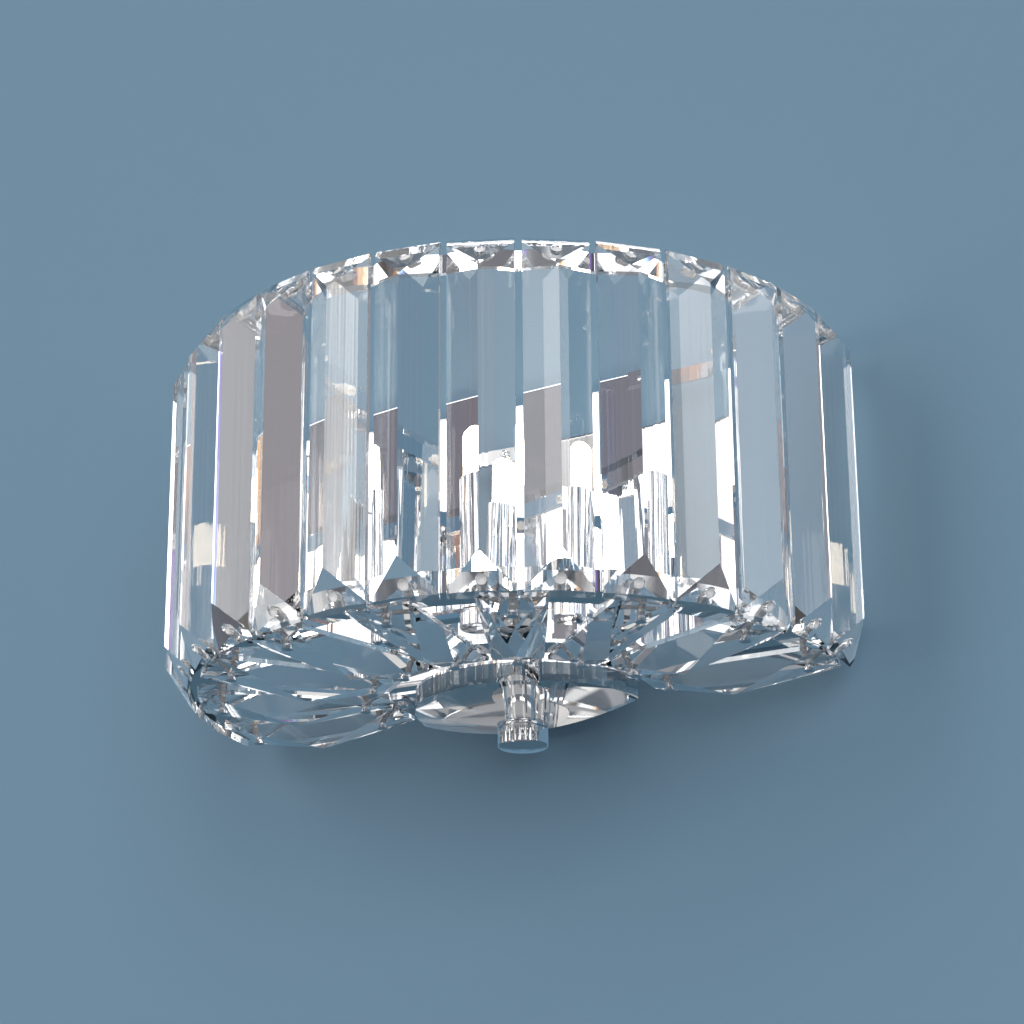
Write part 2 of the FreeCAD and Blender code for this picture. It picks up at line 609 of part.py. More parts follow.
def build_inner_ring():
    """Flat half ring over the bars' inner ends, with an inward lug at each end."""
    body = new_body("inner_ring")
    section = new_sketch(body, "section", "YZ_Plane")
    rectangle(section, "-Place.inner_ring_outer", "-Place.inner_ring_inner",
              "Place.lower_band_low", "Place.inner_ring_top")
    revolve(body, section, "180", both_ways=True)
    lugs = new_sketch(body, "lugs", "XY_Plane", lift="Place.lower_band_low")
    rectangle(lugs, "Place.lug_end", "Place.fan_inner_pin", "-Size.lug_length", "0")
    rectangle(lugs, "-Place.fan_inner_pin", "-Place.lug_end", "-Size.lug_length", "0")
    pad(body, lugs, "Size.inner_ring_thickness")
    screws = new_sketch(body, "lug_holes", "XY_Plane")
    circle(screws, "Place.lug_screw_x", "-Size.lug_screw_y", "Place.screw_hole")
    circle(screws, "-Place.lug_screw_x", "-Size.lug_screw_y", "Place.screw_hole")
    pocket(body, screws)
    fan_hole = new_sketch(body, "fan_hole", "XY_Plane", lift="Place.lower_band_low")
    circle(fan_hole, "Place.fan_inner_pin", "0", "Place.fan_pin_hole")
    thickness = "4 * Size.inner_ring_thickness"
    half_turn_pattern(body, drill(body, fan_hole, thickness), "Size.fan_count")
    return body


# --- hub: half-moon crystal, its plate, the stem and the finial ------------------------------

def build_hub_crystal():
    """Half-moon of crystal: upright rim, domed underside, bore and a flat seat for the finial."""
    rim = doc.addObject("Part::Cylinder", "hub_rim_round")
    rim.setExpression("Radius", "Size.hub_radius")
    rim.setExpression("Height", "Size.hub_rim + Size.hub_dome")
    rim.setExpression("Placement.Base.y", "Size.hub_chord")
    rim.setExpression("Placement.Base.z", "Place.hub_lowest")
    dome = doc.addObject("Part::Sphere", "hub_dome_round")
    dome.setExpression("Radius", "Place.hub_sphere")
    dome.setExpression("Placement.Base.y", "Size.hub_chord")
    dome.setExpression("Placement.Base.z", "Place.hub_lowest + Place.hub_sphere")
    full = doc.addObject("Part::Common", "hub_full_moon")
    full.Base = rim
    full.Tool = dome
    front = doc.addObject("Part::Box", "hub_front")
    front.setExpression("Length", "2 * Size.hub_radius + 2")
    front.setExpression("Width", "Size.hub_radius + 1")
    front.setExpression("Height", "Size.hub_rim + Size.hub_dome + 2")
    front.setExpression("Placement.Base.x", "-Size.hub_radius - 1")
    front.setExpression("Placement.Base.y", "Size.hub_chord - Size.hub_radius - 1")
    front.setExpression("Placement.Base.z", "Place.hub_lowest - 1")
    half = doc.addObject("Part::Common", "hub_half_moon")
    half.Base = full
    half.Tool = front
    bore = doc.addObject("Part::Cylinder", "hub_bore")
    bore.setExpression("Radius", "Size.hub_bore / 2")
    bore.setExpression("Height", "Size.hub_rim + Size.hub_dome + 2")
    bore.setExpression("Placement.Base.z", "Place.hub_lowest - 1")
    seat = doc.addObject("Part::Cylinder", "hub_seat")
    seat.setExpression("Radius", "Size.knob_size / 2 + Size.seat_gap")
    seat.setExpression("Height", "Size.hub_seat_depth + 1")
    seat.setExpression("Placement.Base.z", "Place.hub_lowest - 1")
    tools = doc.addObject("Part::MultiFuse", "hub_cuts")
    tools.Shapes = [bore, seat]
    crystal = doc.addObject("Part::Cut", "hub_crystal")
    crystal.Base = half
    crystal.Tool = tools
    keep(crystal, "hub_crystal")
    return crystal


def build_hub_plate():
    """Half-moon plate over the crystal, with an ear over each lug of the inner ring."""
    body = new_body("hub_plate")
    disc = new_sketch(body, "disc", "XY_Plane", lift="Place.hub_plate_low")
    circle(disc, "0", "Size.hub_chord", "2 * Size.hub_radius")
    pad(body, disc, "Size.hub_plate_thickness")
    back = new_sketch(body, "back", "XY_Plane")
    rectangle(back, "-Size.hub_radius - 1", "Size.hub_radius + 1", "Size.hub_chord",
              "Size.hub_chord + Size.hub_radius + 1")
    pocket(body, back)
    ears = new_sketch(body, "ears", "XY_Plane", lift="Place.hub_plate_low")
    start = "Size.hub_radius * 0.8"
    rectangle(ears, start, "Place.hub_ear", "-Size.lug_length", "0")
    rectangle(ears, "-Place.hub_ear", "-" + start, "-Size.lug_length", "0")
    pad(body, ears, "Size.hub_plate_thickness")
    holes = new_sketch(body, "holes", "XY_Plane")
    circle(holes, "0", "0", "Place.stem_hole")
    circle(holes, "Place.lug_screw_x", "-Size.lug_screw_y", "Place.screw_hole")
    circle(holes, "-Place.lug_screw_x", "-Size.lug_screw_y", "Place.screw_hole")
    pocket(body, holes)
    return body


def build_hub_bracket():
    """Angle strap: its upright leg is screwed to the backplate, its foot carries the stem."""
    body = new_body("hub_bracket")
    section = new_sketch(body, "section", "YZ_Plane")
    leg_top = "Place.bracket_low + Size.bracket_rise"
    outline(section, [
        ("-Size.bracket_reach", "Place.bracket_low"),
        ("Place.strap_back", "Place.bracket_low"),
        ("Place.strap_back", leg_top),
        ("Place.strap_front", leg_top),
        ("Place.strap_front", "Place.bracket_top"),
        ("-Size.bracket_reach", "Place.bracket_top"),
    ])
    pad(body, section, "Size.bracket_width", both_ways=True)
    hole = new_sketch(body, "stem_hole", "XY_Plane")
    circle(hole, "0", "0", "Place.stem_hole")
    pocket(body, hole)
    screws = new_sketch(body, "screw_holes", "XZ_Plane")
    screw_height = "Place.bracket_low + Size.bracket_screw_rise"
    circle(screws, "Size.bracket_screw_x", screw_height, "Place.screw_hole")
    circle(screws, "-Size.bracket_screw_x", screw_height, "Place.screw_hole")
    pocket(body, screws)
    return body


def build_turned(label, corners):
    """Piece turned about the stem's axis from an outline of radii and heights."""
    body = new_body(label)
    section = new_sketch(body, "section", "XZ_Plane")
    outline(section, corners)
    revolve(body, section)
    return body


def build_stem():
    """Threaded tube, the collar with its sleeve, the nut above and the washer below."""
    rod = "Size.stem_size / 2"
    build_turned("stem", [
        ("Size.stem_bore / 2", "Place.stem_low"),
        (rod, "Place.stem_low"),
        (rod, "Place.stem_top"),
        ("Size.stem_bore / 2", "Place.stem_top"),
    ])
    bore = "Place.stem_hole / 2"
    build_turned("stem_collar", [
        (bore, "Place.sleeve_low"),
        ("Size.sleeve_size / 2", "Place.sleeve_low"),
        ("Size.sleeve_size / 2", "Place.collar_low"),
        ("Size.collar_size / 2", "Place.collar_low"),
        ("Size.collar_size / 2", "Place.hub_top"),
        (bore, "Place.hub_top"),
    ])
    nut = new_body("stem_nut")
    hexagon = new_sketch(nut, "hexagon", "XY_Plane", lift="Place.nut_low")
    corner = "Size.nut_across / sqrt(3)"
    outline(hexagon, [("%s * cos(%d)" % (corner, turn), "%s * sin(%d)" % (corner, turn))
                      for turn in range(30, 390, 60)])
    circle(hexagon, "0", "0", "Place.stem_hole")
    pad(nut, hexagon, "Size.nut_height")
    inner = "Size.knob_neck / 2 + Size.pin_gap"
    build_turned("finial_washer", [
        (inner, "Place.washer_low"),
        ("Size.washer_size / 2", "Place.washer_low"),
        ("Size.washer_size / 2", "Place.washer_top"),
        (inner, "Place.washer_top"),
    ])


def build_knob():
    """Finial knob: a neck into the crystal's bore, a turned line, a crowned lower face."""
    rim = "Size.knob_size / 2"
    line = "Place.knob_top - Size.knob_lip"
    bore = "Size.stem_size / 2 + Size.thread_play"
    build_turned("finial_knob", [
        ("0", "Place.knob_low - Size.knob_crown"),
        (rim + " * 0.5", "Place.knob_low - Size.knob_crown * 0.75"),
        (rim + " * 0.8", "Place.knob_low - Size.knob_crown * 0.36"),
        (rim + " - Size.knob_groove", "Place.knob_low"),
        (rim, "Place.knob_low + Size.knob_groove"),
        (rim, line + " - Size.knob_groove"),
        (rim + " - Size.knob_groove", line),
        (rim, line + " + Size.knob_groove"),
        (rim, "Place.knob_top - Size.knob_groove"),
        (rim + " - Size.knob_groove", "Place.knob_top"),
        ("Size.knob_neck / 2", "Place.knob_top"),
        ("Size.knob_neck / 2", "Place.neck_top"),
        (bore, "Place.neck_top"),
        (bore, "Place.knob_bore_end"),
        ("0", "Place.knob_bore_end"),
    ])


# --- backplate, wall strap and arms ----------------------------------------------------------

def screw_spots():
    """Places of the round-headed screws that hold straps to the backplate: across, height."""
    spots = []
    for side in (1, -1):
        arm_x = side * value("Place.arm_screw_x")
        spots.append((arm_x, value("Place.upper_arm_middle")))
        spots.append((arm_x, value("Place.lower_arm_middle")))
        bracket_height = value("Place.bracket_low + Size.bracket_screw_rise")
        spots.append((side * value("Size.bracket_screw_x"), bracket_height))
        lamp_height = value("Size.lamp_arm_low + Size.lamp_screw_rise")
        spots.append((side * value("Size.lamp_x"), lamp_height))
    return spots


def build_backplate():
    """Shallow tray with a rolled front edge, open to the wall."""
    body = new_body("backplate")
    front = new_sketch(body, "front", "XZ_Plane", lift="-Place.plate_front")
    rectangle(front, "-Place.plate_side", "Place.plate_side", "Size.plate_rise", "Place.plate_top")
    pad(body, front, "Size.plate_depth", backwards=True)
    front_y = value("Place.plate_front")
    fillet(body, "Size.plate_round", lambda edge: edge.CenterOfMass.y < front_y + 1)
    doc.recompute()
    rounded = body.Tip
    back_y = value("Size.standoff")
    faces = rounded.Shape.Faces
    back = ["Face%d" % (number + 1) for number, face in enumerate(faces)
            if abs(face.CenterOfMass.y - back_y) < 0.01]
    shell = body.newObject("PartDesign::Thickness", "shell")
    shell.Base = (rounded, back)
    shell.setExpression("Value", "Size.plate_wall")
    shell.Reversed = True
    body.Tip = shell
    holes = new_sketch(body, "strap_holes", "XZ_Plane")
    for side in ("", "-"):
        circle(holes, side + "Place.arm_screw_x", "Place.upper_arm_middle", "Place.screw_hole")
        circle(holes, side + "Place.arm_screw_x", "Place.lower_arm_middle", "Place.screw_hole")
        circle(holes, side + "Size.bracket_screw_x", "Place.bracket_low + Size.bracket_screw_rise",
               "Place.screw_hole")
        circle(holes, side + "Size.lamp_x", "Size.lamp_arm_low + Size.lamp_screw_rise",
               "Place.screw_hole")
    pocket(body, holes)
    sides = new_sketch(body, "side_holes", "YZ_Plane")
    circle(sides, "Place.side_screw_depth", "Place.mount_height", "Place.screw_hole")
    pocket(body, sides)
    return body


def build_wall_strap():
    """Flat strap on the wall with two slots, a cable hole and turned-up ends."""
    body = new_body("wall_strap")
    section = new_sketch(body, "section", "XY_Plane", lift="Place.mount_height")
    inner = "Place.wall_strap_side - Size.strap_thickness"
    outline(section, [
        ("-Place.wall_strap_side", "Size.standoff"),
        ("-Place.wall_strap_side", "Place.ear_front"),
        ("-(%s)" % inner, "Place.ear_front"),
        ("-(%s)" % inner, "Place.wall_strap_front"),
        (inner, "Place.wall_strap_front"),
        (inner, "Place.ear_front"),
        ("Place.wall_strap_side", "Place.ear_front"),
        ("Place.wall_strap_side", "Size.standoff"),
    ])
    pad(body, section, "Size.wall_strap_height", both_ways=True)
    holes = new_sketch(body, "wall_holes", "XZ_Plane", lift="-Size.standoff")
    slot(holes, "Size.slot_spacing / 2", "Place.mount_height", "Size.slot_length", "Size.slot_size")
    slot(holes, "-Size.slot_spacing / 2", "Place.mount_height", "Size.slot_length", "Size.slot_size")
    circle(holes, "0", "Place.mount_height", "Size.cable_hole")
    circle(holes, "-Size.earth_x", "Place.mount_height", "Place.screw_hole")
    pocket(body, holes)
    ends = new_sketch(body, "end_holes", "YZ_Plane")
    circle(ends, "Place.side_screw_depth", "Place.mount_height", "Place.screw_hole")
    pocket(body, ends)
    return body


def build_terminal_block():
    """Terminal block on the wall strap, with a well over each pole's screw."""
    body = new_body("terminal_block")
    base = new_sketch(body, "base", "XZ_Plane", lift="-Place.block_back")
    left = "Size.block_x - Size.block_length / 2"
    low = "Place.mount_height - Size.block_height / 2"
    rectangle(base, left, left + " + Size.block_length", low, low + " + Size.block_height")
    pad(body, base, "Size.block_depth")
    wells = new_sketch(body, "wells", "XZ_Plane", lift="Size.block_depth - Place.block_back")
    poles = int(value("Size.block_poles"))
    for pole in range(poles):
        across = left + " + Size.block_length * %d / (2 * Size.block_poles)" % (2 * pole + 1)
        circle(wells, across, "Place.mount_height", "Size.block_well")
    pocket(body, wells, "Size.block_well_depth")
    grooves = new_sketch(body, "grooves", "XZ_Plane", lift="Size.block_depth - Place.block_back")
    for pole in range(1, poles):
        across = left + " + Size.block_length * %d / Size.block_poles" % pole
        rectangle(grooves, across + " - 0.6", across + " + 0.6", low, low + " + Size.block_height")
    pocket(body, grooves, "Size.block_well_depth / 2")
    return body


def build_arm(label, side, upper):
    """Strap from the backplate's front to a ring's end, folded to lie inside the band."""
    body = new_body(label)
    strap = new_sketch(body, "strap", "XZ_Plane", lift="-Place.strap_back")
    start = "%d * (Place.arm_screw_x - Size.arm_inset / 2)" % side
    inner = "%d * (Place.arm_outer - Size.arm_height)" % side
    outer = "%d * Place.arm_outer" % side
    half = "Size.arm_height / 2"
    middle = "Place.upper_arm_middle" if upper else "Place.lower_arm_middle"
    foot_low = "Place.upper_band_low + Size.seat_gap" if upper else "Place.lower_foot_low"
    foot_top = "Place.upper_band_top - Size.seat_gap" if upper else "Place.lower_band_top"
    if upper:
        rectangle(strap, start, outer, middle + " - " + half, middle + " + " + half)
    else:
        outline(strap, [
            (start, middle + " - " + half),
            (inner, middle + " - " + half),
            (inner, foot_low),
            (outer, foot_low),
            (outer, middle + " + " + half),
            (start, middle + " + " + half),
        ])
    pad(body, strap, "Size.strap_thickness")
    foot = new_sketch(body, "foot", "YZ_Plane", lift="%d * Place.arm_inner" % side)
    rectangle(foot, "Size.arm_foot_start", "Place.strap_back", foot_low, foot_top)
    pad(body, foot, "Size.strap_thickness", backwards=side < 0)
    hole = new_sketch(body, "screw_hole", "XZ_Plane")
    circle(hole, "%d * Place.arm_screw_x" % side, middle, "Place.screw_hole")
    pocket(body, hole)
    return body


def round_screw(seat, way, reach):
    """Round-headed screw: its head stands on the seat, its shank reaches the way given."""
    radius = value("Size.screw_size") / 2
    head = value("Size.screw_head") / 2
    rise = value("Size.screw_head_height")
    flat = rise / 3
    ball = (head ** 2 + (rise - flat) ** 2) / (2 * (rise - flat))
    shank = Part.makeCylinder(radius, reach, seat, way)
    rim = Part.makeCylinder(head, rise, seat - way * rise, way)
    crown = Part.makeSphere(ball, seat - way * (rise - ball))
    return shank.fuse(rim.common(crown)).removeSplitter()


def build_screws():
    """The small screws, in groups that hold the same pieces."""
    into_wall = Vector(0, 1, 0)
    reach = value("Size.screw_reach")
    lift = value("Size.seat_gap") / 4
    seat_y = value("Place.strap_front") - lift
    strap_screws = []
    for across, height in screw_spots():
        strap_screws.append(round_screw(Vector(across, seat_y, height), into_wall, reach))
    group("strap_screws", strap_screws)
    lug_height = value("Place.lower_band_low") - lift
    lug_screws = []
    side_screws = []
    for side in (1, -1):
        across = side * value("Place.lug_screw_x")
        seat = Vector(across, -value("Size.lug_screw_y"), lug_height)
        lug_screws.append(round_screw(seat, Vector(0, 0, 1), reach))
        plate_side = side * (value("Place.plate_side") + lift)
        depth = value("Place.side_screw_depth")
        seat = Vector(plate_side, depth, value("Place.mount_height"))
        side_screws.append(round_screw(seat, Vector(-side, 0, 0), reach))
    group("lug_screws", lug_screws)
    group("backplate_screws", side_screws)
    earth_seat = value("Place.wall_strap_front") - lift
    earth = Vector(-value("Size.earth_x"), earth_seat, value("Place.mount_height"))
    group("earth_screw", [round_screw(earth, into_wall, value("Size.strap_thickness"))])


# --- lamps -----------------------------------------------------------------------------------

LAMPS = ((1, "right"), (0, "middle"), (-1, "left"))


def build_lamp_arms():
    """Two angle straps from the backplate that carry the lamp bar at the outer lamps."""
    body = new_body("lamp_arms", solids=2)
    rise = "Size.lamp_arm_low + Size.lamp_arm_rise"
    for side, side_name in ((1, "right"), (-1, "left")):
        section = new_sketch(body, "arm_" + side_name, "YZ_Plane", lift="%d * Size.lamp_x" % side)
        outline(section, [
            ("-Place.lamp_arm_end", "Size.lamp_arm_low"),
            ("Place.strap_back", "Size.lamp_arm_low"),
            ("Place.strap_back", rise),
            ("Place.strap_front", rise),
            ("Place.strap_front", "Place.lamp_arm_top"),
            ("-Place.lamp_arm_end", "Place.lamp_arm_top"),
        ])
        pad(body, section, "Size.lamp_arm_width", both_ways=True)
    hole = new_sketch(body, "arm_nipple_holes", "XY_Plane")
    screw = new_sketch(body, "arm_screw_holes", "XZ_Plane")
    for side in ("", "-"):
        circle(hole, side + "Size.lamp_x", "-Size.lamp_forward",
               "Size.nipple_size + 2 * Size.pin_gap")
        circle(screw, side + "Size.lamp_x", "Size.lamp_arm_low + Size.lamp_screw_rise",
               "Place.screw_hole")
    pocket(body, hole)
    pocket(body, screw)
    return body


def build_lamp_bar():
    """Flat bar across both lamp arms with the row of lamps on it."""
    body = new_body("lamp_bar")
    flat = new_sketch(body, "flat", "XY_Plane", lift="Place.lamp_bar_low")
    rectangle(flat, "-Place.lamp_bar_end", "Place.lamp_bar_end", "-Place.lamp_arm_end",
              "Size.lamp_arm_nose - Size.lamp_forward")
    pad(body, flat, "Size.strap_thickness")
    holes = new_sketch(body, "nipple_holes", "XY_Plane")
    for side in (-1, 0, 1):
        circle(holes, "%d * Size.lamp_x" % side, "-Size.lamp_forward",
               "Size.nipple_size + 2 * Size.pin_gap")
    pocket(body, holes)
    return body


def nut_shift(side):
    """The middle lamp has no arm under the bar, so its nut sits one strap higher."""
    return "" if side else " + Size.strap_thickness + Size.seat_gap"


def lamp_section(body, side, name="section"):
    """Sketch plane through a lamp's axis."""
    return new_sketch(body, name, "XZ_Plane", lift="Size.lamp_forward",
                      across="%d * Size.lamp_x" % side)


def build_lamp_nuts():
    """Ring nuts that clamp the lamp holders to the lamp bar from below."""
    body = new_body("lamp_nuts", solids=3)
    bore = "Size.nipple_size / 2 + Size.pin_gap"
    rim = "Size.lamp_nut_size / 2"
    for side, lamp_name in LAMPS:
        section = lamp_section(body, side, "nut_" + lamp_name)
        low = "Place.lamp_nut_low" + nut_shift(side)
        top = "Place.lamp_nut_top" + nut_shift(side)
        outline(section, [
            (bore, low),
            (rim + " - Size.knob_groove", low),
            (rim, low + " + Size.knob_groove"),
            (rim, top),
            (bore, top),
        ])
        revolve(body, section)
    return body


def build_lamp_holder(label, side):
    """Lamp holder with a threaded nipple below and an oblong socket above."""
    body = new_body(label)
    section = lamp_section(body, side)
    rim = "Size.holder_size / 2"
    low = "Place.lamp_nut_low + Size.seat_gap" + nut_shift(side)
    outline(section, [
        ("0", low),
        ("Size.nipple_size / 2", low),
        ("Size.nipple_size / 2", "Place.holder_low"),
        (rim, "Place.holder_low"),
        (rim, "Place.holder_top"),
        ("0", "Place.holder_top"),
    ])
    revolve(body, section)
    mouth = new_sketch(body, "mouth", "XY_Plane", lift="Place.holder_top",
                       across="%d * Size.lamp_x" % side, up="-Size.lamp_forward")
    half_width = "(Size.bulb_foot_width / 2 + Size.socket_play)"
    half_depth = "(Size.bulb_foot_depth / 2 + Size.socket_play)"
    rectangle(mouth, "-" + half_width, half_width, "-" + half_depth, half_depth)
    pocket(body, mouth, "Size.socket_depth")
    pins = new_sketch(body, "pin_holes", "XY_Plane", lift="Place.socket_floor",
                      across="%d * Size.lamp_x" % side, up="-Size.lamp_forward")
    pin_hole = "Size.bulb_pin_size + 2 * Size.pin_gap"
    circle(pins, "Size.bulb_pin_spacing / 2", "0", pin_hole)
    circle(pins, "-Size.bulb_pin_spacing / 2", "0", pin_hole)
    pocket(body, pins, "Size.bulb_pin_length + 1")
    return body


def build_bulb(label, side):
    """Capsule bulb: domed glass on an oblong foot with two pins."""
    body = new_body(label)
    section = lamp_section(body, side)
    top = "Place.bulb_shoulder + Size.bulb_glass"
    rim = "Size.bulb_size / 2"
    outline(section, [
        ("0", "Place.bulb_shoulder"),
        (rim, "Place.bulb_shoulder"),
        (rim, top),
        ("0", top),
    ])
    revolve(body, section)
    top_height = value(top)
    fillet(body, rim + " * 0.9", lambda edge: abs(edge.CenterOfMass.z - top_height) < 0.01
           and len(edge.Vertexes) == 1)
    foot = new_sketch(body, "foot", "XY_Plane", lift="Place.bulb_low",
                      across="%d * Size.lamp_x" % side, up="-Size.lamp_forward")
    rectangle(foot, "-Size.bulb_foot_width / 2", "Size.bulb_foot_width / 2",
              "-Size.bulb_foot_depth / 2", "Size.bulb_foot_depth / 2")
    pad(body, foot, "Size.bulb_foot_height")
    pins = new_sketch(body, "pins", "XY_Plane", lift="Place.bulb_low",
                      across="%d * Size.lamp_x" % side, up="-Size.lamp_forward")
    circle(pins, "Size.bulb_pin_spacing / 2", "0", "Size.bulb_pin_size")
    circle(pins, "-Size.bulb_pin_spacing / 2", "0", "Size.bulb_pin_size")
    pad(body, pins, "Size.bulb_pin_length", backwards=True)
    return body


# --- the whole light -------------------------------------------------------------------------

build_backplate()
build_wall_strap()
build_terminal_block()
build_upper_ring()
build_lower_ring()
for arm_side, side_name in ((1, "right"), (-1, "left")):
    build_arm("upper_arm_" + side_name, arm_side, True)
    build_arm("lower_arm_" + side_name, arm_side, False)
build_lamp_arms()
build_lamp_bar()
build_lamp_nuts()
for lamp_side, lamp_name in LAMPS:
    build_lamp_holder("lamp_holder_" + lamp_name, lamp_side)
    build_bulb("bulb_" + lamp_name, lamp_side)
build_inner_ring()
build_hub_bracket()
build_hub_plate()
build_hub_crystal()
build_stem()
build_knob()
for prism in range(int(value("Size.prism_count"))):
    build_prism(prism)
for bar in range(int(value("Size.fan_count"))):
    build_fan_bar(bar)
build_prism_pins("upper_prism_pins", True)
build_prism_pins("lower_prism_pins", False)
build_fan_pins("fan_outer_pins", "Place.fan_outer_pin", "Place.flange_top")
build_fan_pins("fan_inner_pins", "Place.fan_inner_pin", "Place.inner_ring_top")
build_screws()
doc.recompute()

for item in doc.Objects:
    if "Invalid" in item.State or "Error" in item.State:
        raise RuntimeError("%s did not build: %s" % (item.Label, item.State))
for node in nodes:
    if node.Shape.isNull() or not node.Shape.isValid():
        raise RuntimeError("%s has no valid shape" % node.Label)

os.makedirs("parts", exist_ok=True)
for node in nodes:
    node.Shape.exportStep("parts/%s.step" % node.Label)
    print("%-22s %10.1f mm3" % (node.Label, node.Shape.Volume))
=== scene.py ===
"""Looks of the crystal wall light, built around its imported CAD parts."""

import json
import math

import bmesh
import bpy
from mathutils import Matrix, Vector


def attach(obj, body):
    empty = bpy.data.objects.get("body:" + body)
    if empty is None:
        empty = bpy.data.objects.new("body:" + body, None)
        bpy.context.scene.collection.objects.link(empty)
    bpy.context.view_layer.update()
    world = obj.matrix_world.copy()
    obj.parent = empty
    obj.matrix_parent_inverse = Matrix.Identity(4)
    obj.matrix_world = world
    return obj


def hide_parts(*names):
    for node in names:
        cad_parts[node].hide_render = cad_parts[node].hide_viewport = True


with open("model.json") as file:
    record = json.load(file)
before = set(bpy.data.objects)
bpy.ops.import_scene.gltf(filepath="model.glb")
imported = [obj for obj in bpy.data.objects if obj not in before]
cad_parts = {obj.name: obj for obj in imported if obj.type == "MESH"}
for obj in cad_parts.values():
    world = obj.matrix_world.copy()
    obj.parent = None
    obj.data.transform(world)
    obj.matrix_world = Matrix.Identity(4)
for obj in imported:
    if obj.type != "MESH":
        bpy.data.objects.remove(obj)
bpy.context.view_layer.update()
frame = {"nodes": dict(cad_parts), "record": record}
nodes = frame["nodes"]


# --- materials -------------------------------------------------------------------------------

def new_material(name):
    """Empty node material with an output."""
    material = bpy.data.materials.new(name)
    material.use_nodes = True
    material.node_tree.nodes.clear()
    output = material.node_tree.nodes.new("ShaderNodeOutputMaterial")
    return material, material.node_tree, output


def principled(tree, **values):
    """Principled shader with the given socket values."""
    shader = tree.nodes.new("ShaderNodeBsdfPrincipled")
    for name, value in values.items():
        shader.inputs[name.replace("_", " ")].default_value = value
    return shader


def glass(name, colour, streaks, depth):
    """Clear cut crystal, with faint streaks left by its polishing.

    streaks gives the streaks per metre along each axis, and depth their height in metres.
    """
    material, tree, output = new_material(name)
    shader = principled(tree, Base_Color=(*colour, 1), Roughness=0.0, IOR=CRYSTAL_IOR)
    shader.inputs["Transmission Weight"].default_value = 1.0
    place = tree.nodes.new("ShaderNodeTexCoord")
    stretch = tree.nodes.new("ShaderNodeMapping")
    stretch.inputs["Scale"].default_value = streaks
    noise = tree.nodes.new("ShaderNodeTexNoise")
    noise.inputs["Scale"].default_value = 1.0
    noise.inputs["Detail"].default_value = 1.5
    bump = tree.nodes.new("ShaderNodeBump")
    bump.inputs["Strength"].default_value = 1.0
    bump.inputs["Distance"].default_value = depth
    tree.links.new(place.outputs["Object"], stretch.inputs["Vector"])
    tree.links.new(stretch.outputs["Vector"], noise.inputs["Vector"])
    tree.links.new(noise.outputs["Fac"], bump.inputs["Height"])
    tree.links.new(bump.outputs["Normal"], shader.inputs["Normal"])
    tree.links.new(shader.outputs[0], output.inputs["Surface"])
    return material


def metal(name, colour, roughness, wear=0.02, scale=60.0):
    """Plated metal, with faint polishing marks in its roughness."""
    material, tree, output = new_material(name)
    shader = principled(tree, Base_Color=(*colour, 1), Metallic=1.0)
    place = tree.nodes.new("ShaderNodeTexCoord")
    noise = tree.nodes.new("ShaderNodeTexNoise")
    noise.inputs["Scale"].default_value = scale
    noise.inputs["Detail"].default_value = 3.0
    spread = tree.nodes.new("ShaderNodeMapRange")
    spread.inputs["To Min"].default_value = roughness
    spread.inputs["To Max"].default_value = roughness + wear
    tree.links.new(place.outputs["Object"], noise.inputs["Vector"])
    tree.links.new(noise.outputs["Fac"], spread.inputs["Value"])
    tree.links.new(spread.outputs["Result"], shader.inputs["Roughness"])
    tree.links.new(shader.outputs[0], output.inputs["Surface"])
    return material


def moulded(name, colour, roughness, variation=0.06, scale=90.0):
    """Moulded or ground pale material with slight mottling."""
    material, tree, output = new_material(name)
    shader = principled(tree, Roughness=roughness)
    place = tree.nodes.new("ShaderNodeTexCoord")
    noise = tree.nodes.new("ShaderNodeTexNoise")
    noise.inputs["Scale"].default_value = scale
    ramp = tree.nodes.new("ShaderNodeValToRGB")
    ramp.color_ramp.elements[0].color = (*[c * (1 - variation) for c in colour], 1)
    ramp.color_ramp.elements[1].color = (*colour, 1)
    tree.links.new(place.outputs["Object"], noise.inputs["Vector"])
    tree.links.new(noise.outputs["Fac"], ramp.inputs["Fac"])
    tree.links.new(ramp.outputs["Color"], shader.inputs["Base Color"])
    tree.links.new(shader.outputs[0], output.inputs["Surface"])
    return material


def glowing(name, colour, strength):
    """Lit glass of a bulb."""
    material, tree, output = new_material(name)
    shader = principled(tree, Base_Color=(*colour, 1), Roughness=0.2)
    shader.inputs["Emission Color"].default_value = (*colour, 1)
    shader.inputs["Emission Strength"].default_value = strength
    tree.links.new(shader.outputs[0], output.inputs["Surface"])
    return material


CRYSTAL_IOR = 1.54
CRYSTAL_TINT = (0.985, 0.988, 0.99)
CHROME_TINT = (0.84, 0.85, 0.87)

crystal = glass("crystal", CRYSTAL_TINT, streaks=(60, 60, 60), depth=2.0e-5)
drawn_crystal = glass("drawn_crystal", CRYSTAL_TINT, streaks=(420, 420, 5), depth=1.4e-5)
chrome = metal("chrome", CHROME_TINT, roughness=0.02)
mirror_plate = metal("mirror_plate", CHROME_TINT, roughness=0.01, wear=0.01)
zinc = metal("zinc", (0.62, 0.63, 0.65), roughness=0.35, wear=0.1)
brass = metal("brass", (0.80, 0.62, 0.30), roughness=0.2)
frosted = moulded("frosted", (0.93, 0.93, 0.94), roughness=0.35)
block_plastic = moulded("block_plastic", (0.80, 0.80, 0.78), roughness=0.5)
bulb = glowing("lit_bulb", (1.0, 0.84, 0.64), strength=22.0)

